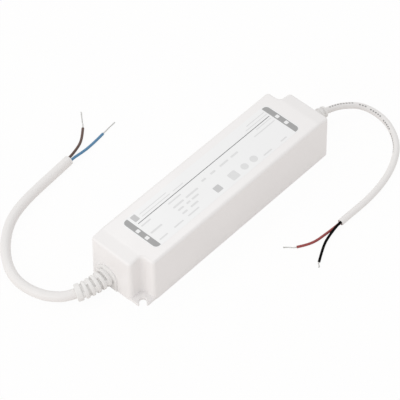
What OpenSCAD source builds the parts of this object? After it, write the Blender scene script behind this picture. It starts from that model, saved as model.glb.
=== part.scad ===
// Constant-voltage LED driver in a white moulded case with two flying cords.
// X runs along the case from the mains end to the lamp end, Z is up, and the
// origin is at the middle of the mounting face. All sizes are in millimetres.

/* [Case] */
// Length over both cable outlet blocks
body_l = 161.4; // [156:0.2:200]
// Width over the long sides
body_w = 41.4; // [40:0.2:52]
// Height from the mounting face to the label face
body_h = 32.6; // [31:0.2:40]
// Fall of the top from each crease to the end face
end_fall = 1.5; // [0.5:0.1:2]
// Thickness of the moulded wall
wall = 2; // [1.6:0.1:2.2]
// Lean of the outer wall over its height
draft = 0.6; // [0.3:0.1:1]
// Side of the square set-back at two opposite corners
notch = 9.4; // [8:0.2:10]
// Radius of the upright outer corners
corner_r = 3; // [2.6:0.1:4]
// Radius in the upright inside corner of a set-back
inner_r = 2.2; // [2:0.1:4]
// Radius along the top edges
top_r = 1.8; // [1:0.1:2.4]

/* [Screw feet] */
// Thickness of the foot in each set-back
foot_t = 2.2; // [1.6:0.1:4]
// Width of the open screw slot
slot_w = 4.3; // [3.4:0.1:5]
// Distance of the screw from both outer edges
slot_in = 4; // [3.6:0.1:4.4]

/* [Base cover] */
// Thickness of the base cover
cover_t = 1.6; // [1.2:0.1:2]
// Width of the ledge that the cover seats on
cover_ledge = 1; // [0.6:0.1:1.4]
// Gap round the edge of the cover
cover_fit = 0.1; // [0.05:0.05:0.2]

/* [Label] */
// Length of the label
label_l = 124; // [90:1:130]
// Width of the label
label_w = 28; // [20:1:30]
// Corner radius of the label
label_r = 3.5; // [1:0.5:5]
// Thickness of the label
label_t = 0.15; // [0.1:0.05:0.3]

/* [Mains outlet] */
// Sideways place of the mains outlet
in_y = 7.4; // [5:0.1:8]
// Height of the mains outlet
in_z = 8.4; // [8.4:0.1:12]
// Diameter of the mains cord
in_d = 6.2; // [5.6:0.1:6.6]
// Diameter of one mains core
in_core_d = 1.7; // [1.4:0.1:1.9]
// Gap between the two mains cores
in_core_gap = 0.6; // [0.1:0.1:0.8]
// Radius of the boot's arched flange
in_flange_r = 7.7; // [7.2:0.1:8.3]
// Radius of the boot where it passes through the wall
in_neck_r = 6; // [5.4:0.1:6.4]
// Radius of the boot's tail at the flange
in_tail_r = 6; // [5.4:0.1:6.6]
// Radius of the boot's tail at its tip
in_tip_r = 5.2; // [4.8:0.1:5.4]
// Spacing of the boot's ribs
in_pitch = 3.3; // [3.1:0.1:3.5]

/* [Lamp outlet] */
// Sideways place of the lamp outlet
out_y = 0; // [-6:0.5:2]
// Height of the lamp outlet
out_z = 9.5; // [9:0.25:12]
// Diameter of the lamp cord
out_d = 4.1; // [3.8:0.1:4.6]
// Diameter of one lamp core
out_core_d = 1.6; // [1.2:0.1:1.7]
// Gap between the two lamp cores
out_core_gap = 0.1; // [0.1:0.1:0.3]
// Turn of the lamp cores about the cord at its cut end
out_core_turn = 60; // [0:5:90]
// Radius of the boot's arched flange
out_flange_r = 6.4; // [6:0.1:7.6]
// Radius of the boot where it passes through the wall
out_neck_r = 4.6; // [4:0.1:5]
// Radius of the boot's tail at the flange
out_tail_r = 4.6; // [4:0.1:5]
// Radius of the boot's tail at its tip
out_tip_r = 3.6; // [3.3:0.1:3.8]
// Spacing of the boot's ribs
out_pitch = 3; // [2.8:0.1:3.2]

/* [Boots] */
// Thickness of the outer flange
flange_t = 1; // [0.8:0.1:1.6]
// Depth of the flat seat cut for the flange, which runs down to the base
seat_depth = 0.4; // [0.35:0.05:0.6]
// Thickness of the collar behind the wall
collar_t = 1.5; // [1:0.1:2.5]
// Step of the collar over the neck
collar_step = 0.8; // [0.5:0.1:1]
// Axial width of the windows between two ribs
window_w = 1.4; // [1:0.1:1.6]
// Length by which the first window reaches back under the flange
window_lead = 0.55; // [0.3:0.05:0.7]
// Width of the webs that join two ribs
web_w = 4; // [3:0.1:4.6]
// Turn of the first pair of webs about the cord
web_turn = 15; // [0:5:90]
// Number of windows along a tail
windows = 6; // [4:1:6]
// Gap round a cord or a neck
boot_fit = 0.15; // [0.1:0.05:0.3]
// Distance from the tail's tip to the cord's next bend
tail_short = 0.8; // [0.6:0.1:1.2]

/* [Cord ends] */
// Diameter of a stripped strand bundle
strand_d = 0.9; // [0.6:0.1:1.2]
// Length of sheath left inside the case
sheath_in = 4.5; // [4:0.5:6]

/* [Circuit board] */
// Thickness of the board
pcb_t = 1.6; // [1:0.2:2]
// Gap from the board's long edges to the wall
pcb_side_gap = 0.4; // [0.3:0.1:1]
// Gap from the board's short edges to the set-back wall
pcb_end_gap = 3.4; // [3:0.1:4]
// Height of the posts under the board
post_h = 3; // [2:0.5:3]
// Radius of a post
post_r = 2.5; // [2:0.1:3]
// Distance of a post from the board's edges
post_in = 4; // [3.5:0.5:6]
// Distance of the cord pads from the board's short edges
pad_in = 6; // [5:0.5:7]
// Length of board kept for the cord pads at each end
pad_zone = 8; // [7.5:0.5:9]
// Gap from a part to the board's long edge
edge_gap = 1; // [0.5:0.1:1.5]
// Gap from a power device to the bridge rectifier beside it
device_gap = 1.2; // [0.8:0.1:1.6]

/* [Mains side parts] */
// Diameter of the fuse
fuse_d = 8.4; // [6:0.2:9]
// Height of the fuse
fuse_h = 7.6; // [6:0.2:9]
// Length of the suppression capacitor
xcap_l = 16; // [12:0.5:17]
// Width of the suppression capacitor
xcap_w = 8; // [6:0.5:8]
// Height of the suppression capacitor
xcap_h = 14; // [10:0.5:16]
// Outer radius of the ring choke's core
ring_r = 7; // [6:0.1:7.4]
// Inner radius of the ring choke's core
ring_hole_r = 4; // [3.4:0.1:4.4]
// Height of the ring choke's core
ring_h = 6; // [4:0.5:8]
// Thickness of the ring choke's windings
ring_wire = 0.9; // [0.6:0.1:1.2]
// Length of the bridge rectifier
bridge_l = 15; // [12:0.5:15]
// Thickness of the bridge rectifier
bridge_w = 3.6; // [3:0.2:4]
// Height of the bridge rectifier
bridge_h = 11; // [8:0.5:12]
// Diameter of the reservoir capacitor
bulk_d = 16; // [12:0.5:16]
// Height of the reservoir capacitor
bulk_h = 20; // [14:0.5:20]

/* [Transformer] */
// Length of the ferrite core along the case
core_l = 25; // [22:0.5:25]
// Width of the ferrite core
core_w = 25; // [23:0.5:25]
// Depth of the ferrite core, and side of its middle leg
core_t = 7; // [6:0.5:7]
// Width of the core's outer legs and backs
leg_w = 3; // [2.5:0.1:3.4]
// Thickness of the bobbin's flanges and tube
bobbin_t = 1.2; // [0.8:0.1:1.4]
// Height of the bobbin's flanges
bobbin_h = 17; // [15:0.5:17]
// Height of the pin rails under the bobbin
rail_h = 2; // [1.6:0.2:3]
// Gap round the bobbin
bobbin_fit = 0.2; // [0.1:0.05:0.3]

/* [Power devices] */
// Width of a power device
device_w = 10; // [9:0.5:10.5]
// Height of a power device
device_h = 15; // [12:0.5:16]
// Thickness of a power device
device_t = 4.5; // [3.5:0.5:4.5]
// Length of a heat spreader
spreader_l = 16; // [14:0.5:18]
// Height of a heat spreader
spreader_h = 18; // [16:0.5:20]
// Thickness of a heat spreader
spreader_t = 1.5; // [1:0.1:2]

/* [Lamp side parts] */
// Diameter of an output capacitor
outcap_d = 10; // [8:0.5:10]
// Height of an output capacitor
outcap_h = 17; // [12:0.5:18]
// Outer radius of the drum choke
drum_r = 5; // [4:0.1:5.4]
// Height of the drum choke
drum_h = 12; // [8:0.5:14]
// Thickness of the drum choke's end discs
drum_disc = 1.6; // [1:0.1:2]
// Radius of the drum choke's waist
drum_waist_r = 2.6; // [2:0.1:3]
// Diameter of the disc capacitor
disc_d = 8.4; // [6:0.2:9]
// Thickness of the disc capacitor
disc_t = 3.6; // [2.6:0.2:4]
// Length of a small chip's body
chip_l = 6.4; // [5:0.2:6.6]
// Width of a small chip's body
chip_w = 4.6; // [3.6:0.2:5]
// Height of a small chip's body
chip_h = 3.4; // [1.6:0.2:3.6]
// Diameter of a component's leads
lead_d = 0.7; // [0.5:0.1:0.9]

/* [Hidden] */
$fn = 48;
white = [0.95, 0.94, 0.94];
cream = [0.91, 0.9, 0.89];

half_l = body_l / 2;
half_w = body_w / 2;
crease_x = half_l - notch;
edge_r = min(top_r, corner_r - draft - 0.1);
skin = wall + draft;
cavity_top = body_h - end_fall - wall;
cover_inset = skin - cover_ledge;

// Points of an arc about c, in steps from angle a to angle b.
function arc(c, r, a, b, steps) =
    [for (i = [0:steps]) c + r * [cos(a + (b - a) * i / steps), sin(a + (b - a) * i / steps)]];

// One half of the stepped outline, moved inwards by d: the crease point, the two
// corners of the outlet block, the inside corner of the set-back and its outer corner.
// The inside corner is split where the crease meets the top face.
split = acos(inner_r / (inner_r + draft + edge_r));
function half_plan(d) = concat(
    [[-crease_x, half_w - d]],
    arc([-half_l + corner_r, half_w - corner_r], corner_r - d, 90, 180, 6),
    arc([-half_l + corner_r, -half_w + notch + corner_r], corner_r - d, 180, 270, 6),
    arc([-crease_x - inner_r, -half_w + notch - inner_r], inner_r + d, 90, split, 3),
    [for (p = [1:3]) arc([-crease_x - inner_r, -half_w + notch - inner_r], inner_r + d, split, 0, 3)[p]],
    arc([-crease_x + corner_r, -half_w + corner_r], corner_r - d, 180, 270, 6));
function plan(d) = concat(half_plan(d), [for (p = half_plan(d)) -p]);

// Height of the top face, which falls from each crease to its end face.
function top_z(x) = body_h - end_fall * max(0, (abs(x) - crease_x) / notch);

// Solid case form: the outline lofted up the leaning walls and round the top edges.
module case_form() {
    steps = 4;
    n = len(plan(0));
    h = n / 2;
    last = steps + 1;
    block = 18;
    function level(j) = j == 0 ? [0, 0] :
        [draft + edge_r * (1 - cos(90 * (j - 1) / steps)), edge_r * (1 - sin(90 * (j - 1) / steps))];
    pts = [for (j = [0:last]) for (p = plan(level(j)[0]))
        [p[0], p[1], j == 0 ? 0 : top_z(p[0]) - level(j)[1]]];
    sides = [for (j = [0:last - 1]) for (k = [0:n - 1])
        each [[j * n + k, (j + 1) * n + k, (j + 1) * n + (k + 1) % n],
              [j * n + k, (j + 1) * n + (k + 1) % n, j * n + (k + 1) % n]]];
    t = last * n;
    // Each cap is four fans: both outlet blocks, and the middle in two along its diagonal.
    fans = [[for (k = [0:block]) k], [for (k = [0:block]) h + k],
        concat([h, 0], [for (k = [block:h - 1]) k]), concat([0, h], [for (k = [block:h - 1]) h + k])];
    tops = [for (f = fans) concat([t + f[0]], [for (k = [len(f) - 1:-1:1]) t + f[k]])];
    polyhedron(pts, concat(fans, sides, tops));
}

// Places a child in both set-backs, drawn for the one at -X and -Y.
module both_corners() {
    for (turn = [0, 180]) rotate([0, 0, turn]) children();
}

module foot() {
    reach = notch + corner_r;
    translate([-half_l + draft / 2, -half_w + draft / 2, 0]) cube([reach, reach, foot_t]);
}

// Screw slot, open through the corner of the foot at 45 degrees.
module screw_slot() {
    translate([-half_l + slot_in, -half_w + slot_in, -1]) {
        cylinder(d = slot_w, h = foot_t + 2);
        rotate([0, 0, 225]) translate([0, -slot_w / 2, 0]) cube([slot_in * 2, slot_w, foot_t + 2]);
    }
}

// Arched plate about a point at height z, with straight sides down to the base. It is
// drawn flat, with its sides running towards the local X of the given sign.
module arch(r, z, down, h) {
    cylinder(r = r, h = h);
    translate([min(0, down * z), -r, 0]) cube([z, 2 * r, h]);
}

// Round hole and flat arched seat of an outlet, along the end's own outward X.
module outlet_cut(side, y, z, neck_r, flange_r) {
    translate([side * half_l, y, z]) rotate([0, side * 90, 0]) {
        translate([0, 0, -skin - 1]) cylinder(r = neck_r + boot_fit, h = skin + 2);
        translate([0, 0, -seat_depth]) arch(flange_r + boot_fit, z + 1, side, 2);
    }
}

module housing() {
    color(white) difference() {
        union() {
            case_form();
            both_corners() foot();
        }
        translate([0, 0, -1]) linear_extrude(cavity_top + 1) polygon(plan(skin));
        translate([0, 0, -1]) linear_extrude(cover_t + 1) polygon(plan(cover_inset));
        both_corners() screw_slot();
        outlet_cut(-1, in_y, in_z, in_neck_r, in_flange_r);
        outlet_cut(1, out_y, out_z, out_neck_r, out_flange_r);
    }
}

pcb_l = 2 * (crease_x - skin - pcb_end_gap);
pcb_w = body_w - 2 * (skin + pcb_side_gap);
pcb_z = cover_t + post_h;
deck = pcb_z + pcb_t;

module base_cover() {
    color(white) {
        linear_extrude(cover_t) polygon(plan(cover_inset + cover_fit));
        for (sx = [-1, 1]) for (sy = [-1, 1])
            translate([sx * (pcb_l / 2 - post_in), sy * (pcb_w / 2 - post_in), cover_t])
                cylinder(r = post_r, h = post_h);
    }
}

function round_rect(l, w, r) = concat(
    arc([l / 2 - r, w / 2 - r], r, 0, 90, 6), arc([-l / 2 + r, w / 2 - r], r, 90, 180, 6),
    arc([-l / 2 + r, -w / 2 + r], r, 180, 270, 6), arc([l / 2 - r, -w / 2 + r], r, 270, 360, 6));

module label() {
    color([0.94, 0.94, 0.94]) translate([0, 0, body_h])
        linear_extrude(label_t) polygon(round_rect(label_l, label_w, label_r));
}

// Routes of the cords: x and y from the outlet's centre on the end face, and the
// height above where the cord lies on the surface.
in_lay = [
    [-21, 5.9, 2.7], [-23.9, 8, 2.1], [-26.6, 10.5, 1.5], [-28.9, 13.7, 1], [-31, 17.3, 0.5],
    [-32.6, 21.3, 0.2], [-34, 26.3, 0], [-34.8, 31.9, 0], [-34.6, 38.4, 0], [-32.8, 45, 0],
    [-29.3, 51.9, 0], [-24.4, 58.5, 0], [-18.2, 64.6, 0], [-10.4, 70.3, 0], [-1, 74.7, 0],
    [10, 77.3, 0], [22.4, 78.8, 0], [36.4, 79.9, 0], [50, 81, 0]];
out_lay = [
    [18.9, -2, 6.2], [26.8, -4.3, 5.2], [33, -7.5, 3.9], [38.1, -11.6, 2.6], [41.2, -17.4, 1.5],
    [42.3, -24.1, 0.6], [41.5, -30.8, 0.1], [38.8, -37.4, 0], [34.7, -43.8, 0], [29.1, -49.5, 0],
    [21.5, -54.3, 0], [12.2, -58.2, 0], [1.9, -60.8, 0], [-8.5, -62.2, 0], [-18.4, -62.6, 0],
    [-27.3, -62.4, 0], [-37.9, -62.2, 0]];

// Free ends of the cores, from the cut end of the sheath: along the cord's own run
// at the outlet's X, sideways in Y, and the height above the surface.
brown_lay = [[7.5, 2.6, 2], [14, 5, 1.4], [20.2, 9.2, 0.6], [25.1, 13.4, 0.1]];
brown_bare = [[29, 17.8, 0.2], [33.6, 23.1, 0]];
blue_lay = [[9.6, -1, 1.6], [20, -0.3, 0.7], [30.2, 1.2, 0.1]];
blue_bare = [[35.6, 2, 0.2], [41.2, 2.6, 0]];
red_lay = [[-8, 0.8, 0.4], [-14, 1.3, 0.4], [-20, 2.3, 0.1], [-25.8, 4.6, 0.1], [-30.4, 7.3, 0.1]];
red_bare = [[-32.8, 9.9, 0.1], [-36, 13.5, 0]];
black_lay = [[-8.5, -1, 1.2], [-15.5, -2.4, 0.4], [-22.9, -5.6, 0.1], [-30, -9.4, 0.1]];
black_bare = [[-31.6, -10.8, 0.1], [-33.1, -12.2, 0]];

in_exit = [-half_l, in_y, 0];
out_exit = [half_l, out_y, 0];
in_bend = [-half_l + seat_depth - flange_t, in_y, in_z];
out_bend = [half_l - seat_depth + flange_t, out_y, out_z];
in_route = [for (p = in_lay) in_exit + p + [0, 0, in_d / 2]];
out_route = [for (p = out_lay) out_exit + p + [0, 0, out_d / 2]];
in_start = [-half_l + skin + sheath_in, in_y, in_z];
out_start = [half_l - skin - sheath_in, out_y, out_z];

function unit(v) = v / norm(v);
// Direction of a route at its point i, half-way between the runs that meet there.
function heading(p, i) = i == 0 ? unit(p[1] - p[0]) :
    i == len(p) - 1 ? unit(p[i] - p[i - 1]) :
    unit(unit(p[i] - p[i - 1]) + unit(p[i + 1] - p[i]));

// Round tube swept along a route, with one ring of corners at each route point.
// The axis called across stays clear of every run of the route.
module tube(route, d, sides, across = [0, 0, 1]) {
    n = sides;
    m = len(route) - 1;
    pts = [for (i = [0:m])
        let (t = heading(route, i), u = unit(cross(across, t)), v = cross(t, u))
        for (k = [0:n - 1])
            route[i] + d / 2 * (cos(360 * (k + 0.5) / n) * u + sin(360 * (k + 0.5) / n) * v)];
    faces = concat(
        [[for (k = [0:n - 1]) k], [for (k = [n - 1:-1:0]) m * n + k]],
        [for (i = [0:m - 1]) for (k = [0:n - 1])
            each [[i * n + k, (i + 1) * n + k, (i + 1) * n + (k + 1) % n],
                  [i * n + k, (i + 1) * n + (k + 1) % n, i * n + (k + 1) % n]]]);
    polyhedron(pts, faces);
}

// Turns a child drawn along +Z to point from a to b, and stands it at a.
module along(a, b) {
    v = b - a;
    translate(a) rotate([0, acos(v[2] / norm(v)), atan2(v[1], v[0])]) children();
}

// Ribbed tail of a boot: a cone over the cord with staggered windows cut down to
// the cord, so that each rib hangs on two webs a quarter turn from the last pair.
module boot_tail(length, r1, r2, pitch) {
    difference() {
        translate([0, 0, -flange_t / 2]) cylinder(r1 = r1, r2 = r2, h = length + flange_t / 2);
        for (i = [0:windows - 1]) translate([0, 0, i * pitch - window_lead]) difference() {
            cylinder(r = r1 + 1, h = window_w);
            rotate([0, 0, web_turn + 90 * i]) translate([-r1 - 2, -web_w / 2, -1])
                cube([2 * r1 + 4, web_w, window_w + 2]);
        }
    }
}

// Cable boot: collar behind the wall, neck through it, flange on its seat, and tail.
module boot(side, bend, tip, cord_d, neck_r, flange_r, tail_r, tip_r, pitch) {
    bore_r = cord_d / 2 + boot_fit;
    depth = flange_t + skin - seat_depth + collar_t;
    difference() {
        union() {
            translate(bend) rotate([0, -side * 90, 0]) {
                arch(flange_r, bend[2] - boot_fit, -side, flange_t);
                cylinder(r = neck_r, h = depth);
                translate([0, 0, depth - collar_t]) cylinder(r = neck_r + collar_step, h = collar_t);
            }
            along(bend, tip) boot_tail(norm(tip - bend) - tail_short, tail_r, tip_r, pitch);
        }
        translate(bend) rotate([0, -side * 90, 0])
            translate([0, 0, -1]) cylinder(r = bore_r, h = depth + 2);
        along(bend, tip) translate([0, 0, -1]) cylinder(r = bore_r, h = norm(tip - bend) + 2);
    }
}

module input_boot() {
    color(cream) boot(-1, in_bend, in_route[0], in_d, in_neck_r, in_flange_r,
        in_tail_r, in_tip_r, in_pitch);
}

module output_boot() {
    color(cream) boot(1, out_bend, out_route[0], out_d, out_neck_r, out_flange_r,
        out_tail_r, out_tip_r, out_pitch);
}

module input_sheath() {
    color(cream) tube(concat([in_start, in_bend], in_route), in_d, 12);
}

module output_sheath() {
    color(cream) tube(concat([out_start, out_bend], out_route), out_d, 10);
}

// Route of one core from the sheath's cut end, offset from the cord's axis by off,
// at an angle turn about it from the level sideways direction.
function core_route(route, lay, d, off, turn) =
    let (e = route[len(route) - 1], t = heading(route, len(route) - 1), w = unit(cross([0, 0, 1], t)))
    let (s = off * (cos(turn) * w + sin(turn) * cross(t, w)))
    concat([e + s, e + s + t * d], [for (p = lay) [e[0] + p[0], e[1] + p[1], p[2] + d / 2]]);

in_off = (in_core_d + in_core_gap) / 2;
out_off = (out_core_d + out_core_gap) / 2;
brown_run = core_route(in_route, brown_lay, in_core_d, in_off, 0);
blue_run = core_route(in_route, blue_lay, in_core_d, -in_off, 0);
red_run = core_route(out_route, red_lay, out_core_d, -out_off, out_core_turn);
black_run = core_route(out_route, black_lay, out_core_d, out_off, out_core_turn);

// Stripped strands beyond the end of a core's insulation.
function bare_route(route, run, bare) =
    let (e = route[len(route) - 1], a = run[len(run) - 1], t = heading(run, len(run) - 1))
    concat([a, a + t], [for (p = bare) [e[0] + p[0], e[1] + p[1], p[2] + strand_d / 2]]);

module input_core_brown() { color([0.39, 0.29, 0.25]) tube(brown_run, in_core_d, 8); }
module input_core_blue() { color([0.36, 0.52, 0.66]) tube(blue_run, in_core_d, 8); }
module output_core_red() { color([0.66, 0.2, 0.2]) tube(red_run, out_core_d, 8); }
module output_core_black() { color([0.05, 0.05, 0.05]) tube(black_run, out_core_d, 8); }

module strands(route, run, bare) {
    color([0.78, 0.77, 0.74]) tube(bare_route(route, run, bare), strand_d, 8);
}
module brown_strands() { strands(in_route, brown_run, brown_bare); }
module blue_strands() { strands(in_route, blue_run, blue_bare); }
module red_strands() { strands(out_route, red_run, red_bare); }
module black_strands() { strands(out_route, black_run, black_bare); }

// Core inside the case: out of the sheath, over the board and down to its pad.
module core_tail(start, side, d, off) {
    pad_x = side * (pcb_l / 2 - pad_in);
    a = start + [0, off, 0];
    rise = deck + 2 * d;
    wide = off + sign(off) * d;
    tube([a, a - [side * d, 0, 0], [pad_x + side * 2 * d, start[1] + wide, rise],
        [pad_x + side * d / 2, start[1] + wide, rise], [pad_x, start[1] + wide, rise - d / 2],
        [pad_x, start[1] + wide, deck]], d, 8, [0, 1, 0]);
}
module input_tail_brown() { color([0.39, 0.29, 0.25]) core_tail(in_start, -1, in_core_d, in_off); }
module input_tail_blue() { color([0.36, 0.52, 0.66]) core_tail(in_start, -1, in_core_d, -in_off); }
module output_tail_red() { color([0.66, 0.2, 0.2]) core_tail(out_start, 1, out_core_d, out_off); }
module output_tail_black() { color([0.05, 0.05, 0.05]) core_tail(out_start, 1, out_core_d, -out_off); }

module circuit_board() {
    color([0.12, 0.36, 0.2]) translate([0, 0, pcb_z])
        linear_extrude(pcb_t) polygon(round_rect(pcb_l, pcb_w, 1));
}

// Stands a child on the board, x from the mains edge or, with side 1, from the lamp edge.
module on_board(side, x, y) {
    translate([side * (pcb_l / 2 - x), y, deck]) children();
}
back_y = pcb_w / 2;
ring_gap = 0.1;

// The parts stand in four rows, one along each long edge on both sides of the transformer.
// Each row shares its free length out as equal gaps between its parts.
run_x = pcb_l / 2 - core_l / 2;
ring_over = 2 * (ring_r + ring_gap + ring_wire);
front_gap = (run_x - fuse_d - ring_over - bulk_d) / 4;
back_gap = (run_x - pad_zone - xcap_l - bridge_l) / 3;
lamp_back_gap = (run_x - pad_zone - 2 * outcap_d - disc_d) / 4;
lamp_front_gap = (run_x - pad_zone - 2 * drum_r - spreader_l) / 3;
fuse_x = front_gap + fuse_d / 2;
ring_x = 2 * front_gap + fuse_d + ring_over / 2;
ring_y = -back_y + edge_gap + ring_over / 2;
bulk_x = run_x - front_gap - bulk_d / 2;
xcap_x = pad_zone + back_gap + xcap_l / 2;
bridge_x = run_x - back_gap - bridge_l / 2;
bridge_y = back_y - spreader_t - device_t - device_gap - bridge_w / 2;
switch_x = run_x - back_gap - spreader_l / 2;
outcap_b_x = pad_zone + lamp_back_gap + outcap_d / 2;
outcap_a_x = outcap_b_x + lamp_back_gap + outcap_d;
disc_x = run_x - lamp_back_gap - disc_d / 2;
drum_x = pad_zone + lamp_front_gap + drum_r;
drum_y = -back_y + edge_gap + drum_r;
diode_x = run_x - lamp_front_gap - spreader_l / 2;

module fuse() {
    color([0.25, 0.25, 0.27]) on_board(-1, fuse_x, -back_y + edge_gap + fuse_d / 2)
        cylinder(d = fuse_d, h = fuse_h);
}

module suppression_capacitor() {
    color([0.85, 0.72, 0.2]) on_board(-1, xcap_x, back_y - edge_gap - xcap_w / 2)
        translate([-xcap_l / 2, -xcap_w / 2, 0]) cube([xcap_l, xcap_w, xcap_h]);
}

module ring_choke_core() {
    color([0.25, 0.5, 0.35]) on_board(-1, ring_x, ring_y) translate([0, 0, ring_wire + ring_gap])
        rotate_extrude() translate([ring_hole_r, 0]) square([ring_r - ring_hole_r, ring_h]);
}

module ring_choke_windings() {
    in_r = ring_hole_r - ring_gap;
    out_r = ring_r + ring_gap;
    color([0.72, 0.4, 0.2]) on_board(-1, ring_x, ring_y) for (turn = [-50, 130]) rotate([0, 0, turn])
        rotate_extrude(angle = 100) difference() {
            translate([in_r - ring_wire, 0])
                square([out_r - in_r + 2 * ring_wire, ring_h + 2 * (ring_wire + ring_gap)]);
            translate([in_r, ring_wire]) square([out_r - in_r, ring_h + 2 * ring_gap]);
        }
}

module bridge_rectifier() {
    color([0.1, 0.1, 0.11]) on_board(-1, bridge_x, bridge_y) rotate([90, 0, 0])
        translate([0, 0, -bridge_w / 2]) linear_extrude(bridge_w)
            polygon([[-bridge_l / 2, 0], [bridge_l / 2, 0], [bridge_l / 2, bridge_h - 2],
                [bridge_l / 2 - 2, bridge_h], [-bridge_l / 2, bridge_h]]);
}

module reservoir_capacitor() {
    color([0.12, 0.13, 0.2]) on_board(-1, bulk_x, -back_y + edge_gap + bulk_d / 2)
        cylinder(d = bulk_d, h = bulk_h);
}

trafo_z = deck + rail_h + bobbin_h / 2 - bobbin_fit;
window_l = core_l - 2 * leg_w;
window_h = (core_w - core_t) / 2 - leg_w;

// Two E-shaped halves that meet at the middle of their legs.
module transformer_core() {
    color([0.2, 0.2, 0.21]) translate([0, 0, trafo_z]) for (turn = [0, 180]) rotate([0, 0, turn])
        difference() {
            translate([0, -core_w / 2, -core_t / 2]) cube([core_l / 2, core_w, core_t]);
            for (s = [-1, 1])
                translate([-1, s * (core_t + window_h) / 2 - window_h / 2, -core_t])
                    cube([window_l / 2 + 1, window_h, 2 * core_t]);
        }
}

tube_in = core_t + 2 * bobbin_fit;
tube_out = tube_in + 2 * bobbin_t;
module transformer_bobbin() {
    span = window_l - 2 * bobbin_fit;
    wide = core_t + 2 * (window_h - bobbin_fit);
    color([0.16, 0.16, 0.17]) translate([0, 0, trafo_z]) difference() {
        union() {
            cube([span, tube_out, tube_out], center = true);
            for (s = [-1, 1]) {
                translate([s * (span - bobbin_t) / 2, 0, 0]) cube([bobbin_t, wide, bobbin_h], center = true);
                translate([s * (span / 2 - rail_h) - rail_h, -wide / 2, deck - trafo_z])
                    cube([2 * rail_h, wide, rail_h + 1]);
            }
        }
        cube([span + 1, tube_in, tube_in], center = true);
    }
}

module transformer_winding() {
    span = window_l - 2 * bobbin_fit - 2 * bobbin_t;
    color([0.8, 0.68, 0.25]) translate([0, 0, trafo_z]) difference() {
        cube([span - 2 * bobbin_fit, core_t + 2 * window_h - 1.5, bobbin_h - 2 * rail_h], center = true);
        cube([span + 1, tube_out + bobbin_fit, tube_out + bobbin_fit], center = true);
    }
}

// Power device lying against a heat spreader that stands along a long edge.
module power_device(side, x, edge) {
    on_board(side, x, edge * (back_y - spreader_t - device_t / 2))
        translate([-device_w / 2, -device_t / 2, 0]) cube([device_w, device_t, device_h]);
}
module heat_spreader(side, x, edge) {
    on_board(side, x, edge * (back_y - spreader_t / 2))
        translate([-spreader_l / 2, -spreader_t / 2, 0]) cube([spreader_l, spreader_t, spreader_h]);
}
module switch_transistor() { color([0.1, 0.1, 0.1]) power_device(-1, switch_x, 1); }
module switch_heat_spreader() { color([0.75, 0.76, 0.78]) heat_spreader(-1, switch_x, 1); }
module rectifier_diode() { color([0.1, 0.1, 0.1]) power_device(1, diode_x, -1); }
module diode_heat_spreader() { color([0.75, 0.76, 0.78]) heat_spreader(1, diode_x, -1); }

module output_capacitor(x) {
    color([0.15, 0.16, 0.22]) on_board(1, x, back_y - edge_gap - outcap_d / 2)
        cylinder(d = outcap_d, h = outcap_h);
}
module output_capacitor_a() { output_capacitor(outcap_a_x); }
module output_capacitor_b() { output_capacitor(outcap_b_x); }

module drum_choke_core() {
    color([0.22, 0.22, 0.23]) on_board(1, drum_x, drum_y) {
        cylinder(r = drum_waist_r, h = drum_h);
        cylinder(r = drum_r, h = drum_disc);
        translate([0, 0, drum_h - drum_disc]) cylinder(r = drum_r, h = drum_disc);
    }
}
module drum_choke_winding() {
    color([0.72, 0.4, 0.2]) on_board(1, drum_x, drum_y) translate([0, 0, drum_disc])
        difference() {
            cylinder(r = drum_r - 0.4, h = drum_h - 2 * drum_disc);
            translate([0, 0, -1]) cylinder(r = drum_waist_r + 0.05, h = drum_h);
        }
}

module disc_capacitor() {
    lift = 1;
    color([0.25, 0.45, 0.7]) on_board(1, disc_x, back_y - edge_gap - disc_t / 2) {
        translate([0, disc_t / 2, lift + disc_d / 2]) rotate([90, 0, 0]) cylinder(d = disc_d, h = disc_t);
        for (s = [-1, 1]) translate([s * disc_d / 4, 0, 0]) cylinder(d = lead_d, h = lift + disc_d / 2);
    }
}

module chip(h) {
    translate([-chip_w / 2, -chip_l / 2, 0]) cube([chip_w, chip_l, h]);
}
module optocoupler() {
    color([0.9, 0.9, 0.88]) on_board(1, run_x - chip_w, 0) chip(chip_h);
}
// The control chip sits on the solder side, under the switch.
module control_chip() {
    color([0.08, 0.08, 0.08]) on_board(-1, run_x - chip_w, 0)
        translate([0, 0, -pcb_t - chip_h / 2]) chip(chip_h / 2);
}

housing();
base_cover();
label();
input_boot();
output_boot();
input_sheath();
output_sheath();
input_core_brown();
input_core_blue();
output_core_red();
output_core_black();
brown_strands();
blue_strands();
red_strands();
black_strands();
input_tail_brown();
input_tail_blue();
output_tail_red();
output_tail_black();
circuit_board();
fuse();
suppression_capacitor();
ring_choke_core();
ring_choke_windings();
bridge_rectifier();
reservoir_capacitor();
transformer_core();
transformer_bobbin();
transformer_winding();
switch_transistor();
switch_heat_spreader();
rectifier_diode();
diode_heat_spreader();
output_capacitor_a();
output_capacitor_b();
drum_choke_core();
drum_choke_winding();
disc_capacitor();
optocoupler();
control_chip();
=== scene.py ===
import math

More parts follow.
